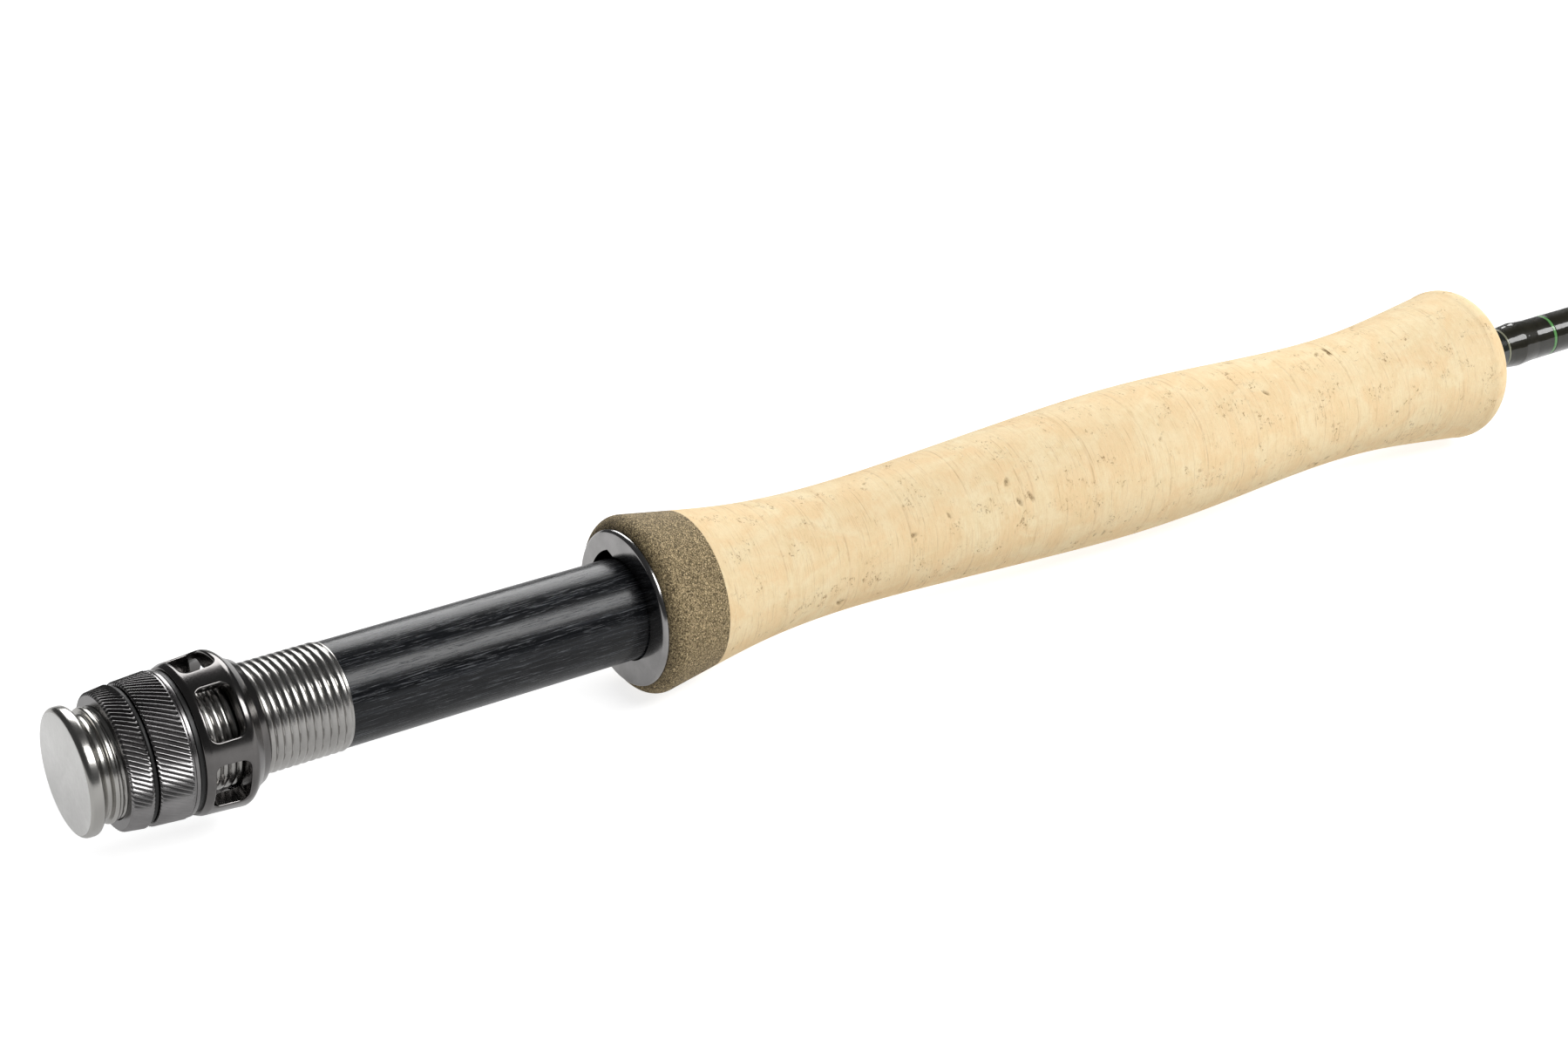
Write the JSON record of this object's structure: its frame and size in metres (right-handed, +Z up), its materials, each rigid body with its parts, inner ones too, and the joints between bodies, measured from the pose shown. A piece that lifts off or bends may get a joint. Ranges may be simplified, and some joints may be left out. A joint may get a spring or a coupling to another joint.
{
  "type": "fly rod butt section with reel seat",
  "caption": "Fly rod butt section: up-locking reel seat with sliding hood and lock nuts, cork full-wells grip, blank with hook keeper and stripping guide.",
  "frame": {"origin": "centre of the butt cap's flat rear face, on the rod's axis", "axes": "+X along the rod towards the tip, +Z up as the rod lies on a table; the reel foot, hook keeper and guide face 18.5 degrees above +Y"},
  "size_m": [0.735, 0.0361, 0.0298],
  "materials": {
    "nickel_silver": "satin",
    "barrel_nickel": "polished",
    "seat_insert": "gloss",
    "arbor": "matte",
    "gunmetal_polished": "polished",
    "gunmetal_knurled": "polished",
    "o_ring_rubber": "matte",
    "washer_black": "matte",
    "snap_ring_steel": "satin",
    "burl_cork": "matte",
    "cork": "matte",
    "blank_graphite": "gloss",
    "check_black": "gloss",
    "accent_thread": "gloss",
    "wrap_thread": "gloss",
    "trim_thread": "gloss",
    "guide_metal": "polished",
    "guide_ceramic": "gloss"
  },
  "bodies": {
    "root": {"butt_cap": "nickel_silver", "thread_barrel": "barrel_nickel", "seat_insert": "seat_insert", "rear_arbor": "arbor", "middle_arbor": "arbor", "front_arbor": "arbor", "fixed_hood": "gunmetal_polished", "burl_ring": "burl_cork", "cork_ring_01": "cork", "cork_ring_02": "cork", "cork_ring_03": "cork", "cork_ring_04": "cork", "cork_ring_05": "cork", "cork_ring_06": "cork", "cork_ring_07": "cork", "cork_ring_08": "cork", "cork_ring_09": "cork", "cork_ring_10": "cork", "cork_ring_11": "cork", "cork_ring_12": "cork", "cork_ring_13": "cork", "cork_ring_14": "cork", "rod_blank": "blank_graphite", "winding_check": "check_black", "accent_band": "accent_thread", "handle_wrap_rear": "wrap_thread", "handle_trim_band": "trim_thread", "handle_wrap_front": "wrap_thread", "hook_keeper": "guide_metal", "keeper_wrap_rear": "wrap_thread", "keeper_wrap_front": "wrap_thread", "guide_frame": "guide_metal", "guide_ring": "guide_ceramic", "guide_wrap_rear": "wrap_thread", "guide_wrap_front": "wrap_thread", "guide_trim_rear": "trim_thread", "guide_trim_front": "trim_thread"},
    "sliding_hood": {"sliding_hood": "gunmetal_polished", "hood_washer": "washer_black", "hood_snap_ring": "snap_ring_steel"},
    "front_lock_nut": {"front_lock_nut": "gunmetal_knurled"},
    "jam_ring": {"jam_o_ring": "o_ring_rubber"},
    "rear_lock_nut": {"rear_lock_nut": "gunmetal_knurled"}
  },
  "joints": [
    {"name": "hood_slide", "type": "slide", "parent": "root", "child": "sliding_hood", "axis": [1, 0, 0], "range_m": [0, 0.022]},
    {"name": "lock_nut_turn", "type": "hinge", "parent": "sliding_hood", "child": "front_lock_nut", "pos_m": [0.0133, 0, 0], "axis": [1, 0, 0], "range_deg": [0, 6235]},
    {"name": "jam_slide", "type": "slide", "parent": "front_lock_nut", "child": "jam_ring", "axis": [1, 0, 0], "range_m": [-0.0008, 0]},
    {"name": "jam_nut_turn", "type": "hinge", "parent": "jam_ring", "child": "rear_lock_nut", "pos_m": [0.0076, 0, 0], "axis": [1, 0, 0], "range_deg": [-226, 0]}
  ],
  "couplings": [
    {"joint": "hood_slide", "follows": "lock_nut_turn", "m_per_rad": 0.00020213},
    {"joint": "jam_slide", "follows": "jam_nut_turn", "m_per_rad": 0.00020213}
  ]
}
